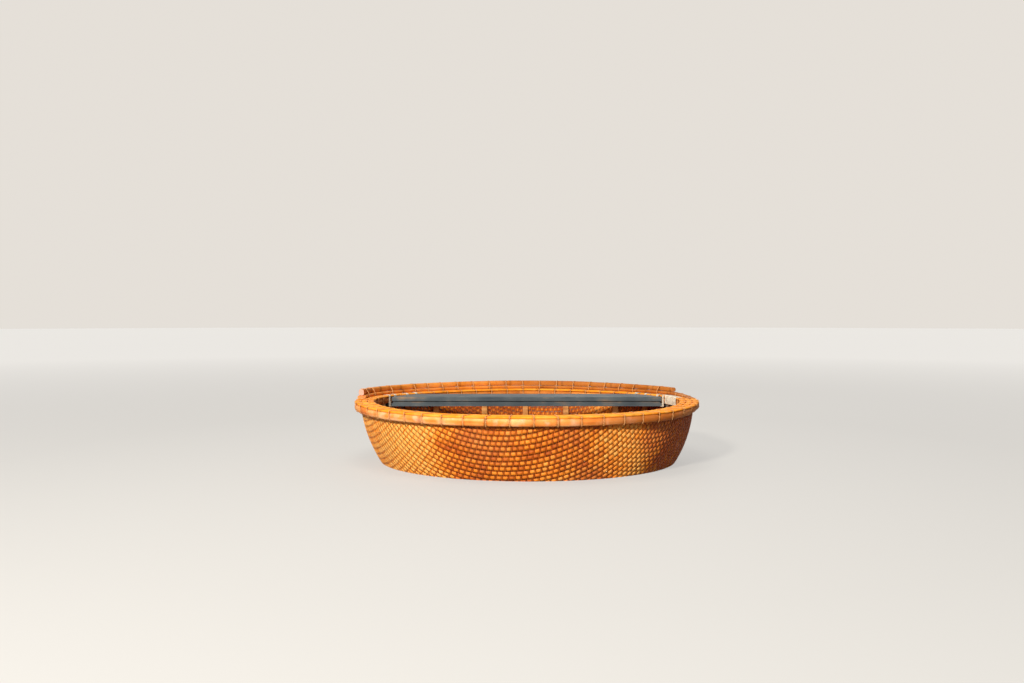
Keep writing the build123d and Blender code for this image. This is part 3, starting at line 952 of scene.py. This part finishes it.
def makeRibTree():
    _, given = newTree("bentRib", ["Away", "Depth", "Thick", "Width", "Top", "Turned", "Rings", "Around", "Seed"],
                       ("Rings", "Around"))
    sheet, ring, fromEnd, turn = rolled(given["Rings"], given["Around"])
    share = held((ring - 2.0) / (given["Rings"] - 5.0), 0.0, 1.0) * 2.0 - 1.0  # two rings close each end
    scale = held(fromEnd * 0.9, 0.0, 1.0)
    side, up = squared(cosine(turn), 0.4) * scale, squared(sine(turn), 0.6) * scale
    stretch = sine(share * (math.pi / 2))
    wander = noise(vector(share, given["Seed"], given["Depth"] * 900.0), 1.8, 2.0) - 0.5
    edge = noise(vector(share * 9.0, given["Seed"] + 20.0, side), 1.0, 2.0) - 0.5
    joint = bump(wrapped(stretch * 3.1 + given["Seed"] * 0.37, 1.0) - 0.5, 0.022)
    away = given["Away"] + wander * 0.012 + side * (given["Width"] * 0.5 + edge * 0.002 + joint * 0.0006)
    depth = given["Depth"] + given["Thick"] * 0.5 + up * (given["Thick"] * 0.5)
    # where a face this deep reaches the ribs' tops
    start, bend, low, _, foot = insetBowl(depth)[-1]
    cosineOf = math.cos(low) - (given["Top"] - foot) / bend
    reach = start + (calc("SQRT", 1.0 - cosineOf * cosineOf) - math.sin(low)) * bend
    end = calc("SQRT", larger(reach * reach - away * away, 0.0001))
    turned = given["Turned"]
    along = end * stretch * (turned * 2.0 - 1.0)
    height = heightInside(length(along, away), depth)
    x = along * (1.0 - turned) + away * turned
    y = away * (1.0 - turned) + along * turned
    cut = 1.0 - held(fromEnd - 1.0, 0.0, 1.0)
    shape = store(sheet, joint=joint, pinch=0.0, cut=cut, tone=wander + 0.5)
    return closeTree(formed(shape, vector(x, y, height)), given["Material"])


def makeRibs():
    tree = makeRibTree()
    for layer in ("across", "along"):
        for k, away in enumerate(ribs[layer]["places"]):
            seed = 30.0 + 7.0 * k + 50.0 * ribs[layer]["Turned"]
            values = {**ribs["all"], **ribs[layer], "Away": away, "Seed": seed}
            piece = grow(f"rib{layer.capitalize()}{k + 1}", tree, values, ribMaterial)
            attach(piece, "root")
            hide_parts(ribs[layer]["nodes"] + str(k + 1))


makeRibs()
print("ribs bent")


# Bench: its twine goes over the inner hoop on both sides of each bearer, and under the bearer

twine = {
    "thickness": 0.0025,
    "turns": 8,
    "bearers": (0.317, 0.503),  # Y of their middles
    "bearerWidth": 0.030,
    "crossing": 0.8901,  # radius where the bearers meet the hoop
    "hoopOuter": 0.9086,
    "under": 0.4520,
    "inside": 0.8710,
    "between": 0.9071,
    "over": 0.5187,
    "shoulder": 0.8765,  # radius where the twine lies level on the hoop
    "bend": 0.0028,
    "wander": 0.0012,
    "beside": 0.010 / 0.8726,  # from the bearer's side to the twine's middle, as an angle
    "wound": {"start": math.radians(16.6), "step": 0.0042, "turns": 52, "thickness": 0.0036, "clear": 0.0052,
              "foot": 0.4676, "middle": 0.495},
}


def atAngle(profile, angle):
    return [(radius * math.cos(angle), radius * math.sin(angle), height) for radius, height in profile]


def twineLoop(angle, reach, k, chance):
    t = twine
    off = (k * t["thickness"] * 1.04 - 0.0075) / t["inside"]
    low = t["under"] - t["thickness"] * (0.55 + k % 2)
    slip = (k % 4 - 1.5) * t["thickness"]
    jitter = chance.uniform(-0.0004, 0.0004)
    inner, outer, over = t["inside"], t["between"], t["over"]
    # up one side of the bearer, over the hoop and down, and back under the bearer on its other side
    profile = [(inner + slip * 0.2, low), (inner, over - 0.003), (t["shoulder"], over), (0.889, over + 0.001),
               (outer - 0.003, over), (outer, over - 0.004), (outer + slip * 0.2, low)]
    points = []
    for side, way in ((-1, profile), (1, reversed(profile))):
        points += atAngle(way, angle + side * (reach + off + jitter))
    return points


def woundLoops():
    # the right twine's spare end, wound on round the inner hoop in front of the bench, between the rim's cords
    t, w = twine, twine["wound"]
    low, top = w["foot"], t["over"] + 0.0004
    loops = []
    for k in range(w["turns"]):
        angle = w["start"] - k * w["step"]
        if all(abs(angle - spot) > w["clear"] for spot in cordSpots()):
            profile = [(t["inside"], low), (t["inside"] - 0.001, w["middle"]), (t["inside"], top - 0.003),
                       (t["shoulder"], top), (t["between"] - 0.003, top), (t["between"], top - 0.004),
                       (t["between"], low)]
            loops.append(atAngle(profile, angle))
    return loops


def makeTwinePiece(name, tree, loops, thickness):
    outline = outlineObject("twineOutline", loops)
    values = {"Thickness": thickness, "Bend": twine["bend"], "Wander": twine["wander"], "Sides": 8, "Seed": 7.0,
              "Loops": outline}
    piece = grow(name, tree, values, twineMaterial, spotMesh(name, [0.0]))
    bpy.data.objects.remove(outline)
    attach(piece, "root")
    return piece


def makeTwine():
    t = twine
    chance = random.Random(3)
    tree = makeCordTree()
    for name, sign in (("left", -1), ("right", 1)):
        loops = []
        for y in t["bearers"]:
            angle = math.asin(y / t["crossing"])
            edges = [y - t["bearerWidth"] / 2, y + t["bearerWidth"] / 2]
            reach = max(abs(math.asin(edge / radius) - angle)
                        for radius in (t["inside"], t["hoopOuter"]) for edge in edges)
            reach += t["beside"]
            loops += [twineLoop(angle if sign > 0 else math.pi - angle, reach, k, chance) for k in range(t["turns"])]
        piece = makeTwinePiece(f"benchTwine{name.capitalize()}", tree, loops, t["thickness"])
        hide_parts(f"bench_lashing_{name}")
    makeTwinePiece("benchTwineWound", tree, woundLoops(), t["wound"]["thickness"])


makeTwine()
print("bench lashed")


# Camera, floor and light

stage = {
    "floor": (112, 111, 109),
    "glow": (249, 246, 241),
    "sky": (250, 244, 236),
    "rings": (1.5, 3.0, 8.0, 60.0),
    "around": 256,
    "hazeFrom": 3.0,
    "hazeOver": 12.0,
    "lightAim": (0, 0, 0.35),
}

view = {
    "distance": 5.894,
    "above": 0.831,  # over the water
    "aside": -0.089,
    "pitch": 1.525,
    "lens": 1020 * 36 / 1024,
}


def makeCamera():
    data = bpy.data.cameras.new("camera")
    data.lens, data.sensor_width = view["lens"], 36.0
    camera = placed("camera", data)
    camera.location = (view["aside"], -view["distance"], waterline + view["above"])
    camera.rotation_euler = (math.radians(90 - view["pitch"]), 0, 0)
    bpy.context.scene.camera = camera


def seenDirectly(tree):
    # 1 where the eye, a mirror or a glass looks at a backdrop, 0 where it lights the object
    rays = node(tree, "ShaderNodeLightPath")
    kinds = [out(rays, k) for k in ("Is Camera Ray", "Is Glossy Ray", "Is Transmission Ray")]
    return larger(kinds[0], larger(kinds[1], kinds[2]))


def radiusAtHeight(height, depth):
    low, high = 0.0, bowl["matReach"]
    for _ in range(50):
        middle = (low + high) / 2
        if bowlPoint(middle, depth)[1] < height:
            low = middle
        else:
            high = middle
    return bowlPoint(low, depth)[0]


def makeFloor():
    # a pale floor at the waterline, open inside the hull's wall
    rings, around = (radiusAtHeight(waterline, bowl["wall"] / 2), *stage["rings"]), stage["around"]
    points, faces = [], []
    for ring in rings:
        for k in range(around):
            turn = 2 * math.pi * k / around
            points.append((ring * math.cos(turn), ring * math.sin(turn), waterline))
    for r in range(len(rings) - 1):
        for k in range(around):
            a, b = r * around + k, r * around + (k + 1) % around
            faces.append((a, a + around, b + around, b))
    mesh = bpy.data.meshes.new("floor")
    mesh.from_pydata(points, [], faces)
    floor = placed("floor", mesh)
    made, tree, shader = newMaterial("paleFloor")
    shader.inputs["Base Color"].default_value = (*linear(stage["floor"]), 1)
    shader.inputs["Roughness"].default_value = 0.8
    shader.inputs["Emission Color"].default_value = (*linear(stage["glow"]), 1)
    x, y, _ = split(objectPlace(tree))
    haze = held((length(x, y) - stage["hazeFrom"]) / stage["hazeOver"], 0.0, 1.0)
    plug(seenDirectly(tree) * (haze * 0.22 + 0.53), shader.inputs["Emission Strength"])
    mesh.materials.append(made)


lamps = {
    "key": {"spot": (-2.9, -7.4, 4.3), "size": 1.0, "power": 940.0, "tint": (1.0, 0.94, 0.84)},
    "top": {"spot": (-0.6, -1.4, 5.4), "size": 2.6, "power": 100.0, "tint": (1.0, 0.96, 0.88)},
    "fill": {"spot": (2.0, -5.5, 2.6), "size": 4.0, "power": 6.0, "tint": (1.0, 0.98, 0.94)},
    "back": {"spot": (1.0, 4.0, 3.2), "size": 3.0, "power": 24.0, "tint": (1.0, 1.0, 1.0)},
}


def makeLight():
    for name, lamp in lamps.items():
        data = bpy.data.lights.new(name, "AREA")
        data.shape, data.size = "DISK", lamp["size"]
        data.energy, data.color = lamp["power"], lamp["tint"]
        light = placed(name, data)
        light.location = lamp["spot"]
        aim = Vector(stage["lightAim"]) - Vector(lamp["spot"])
        light.rotation_euler = aim.to_track_quat("-Z", "Y").to_euler()
    world = bpy.data.worlds.new("world")
    world.use_nodes = True
    bpy.context.scene.world = world
    tree = world.node_tree
    sky = tree.nodes["Background"]
    sky.inputs["Color"].default_value = (*linear(stage["sky"]), 1)
    plug(seenDirectly(tree) * 0.60 + 0.22, sky.inputs["Strength"])


makeCamera()
makeFloor()
makeLight()
bpy.context.scene.view_settings.view_transform = "Standard"
print("camera, floor and light made")

for name in ("bench_plank", "bench_bearer_front", "bench_bearer_back"):
    nodes[name].data.materials.clear()
    nodes[name].data.materials.append(paintMaterial)
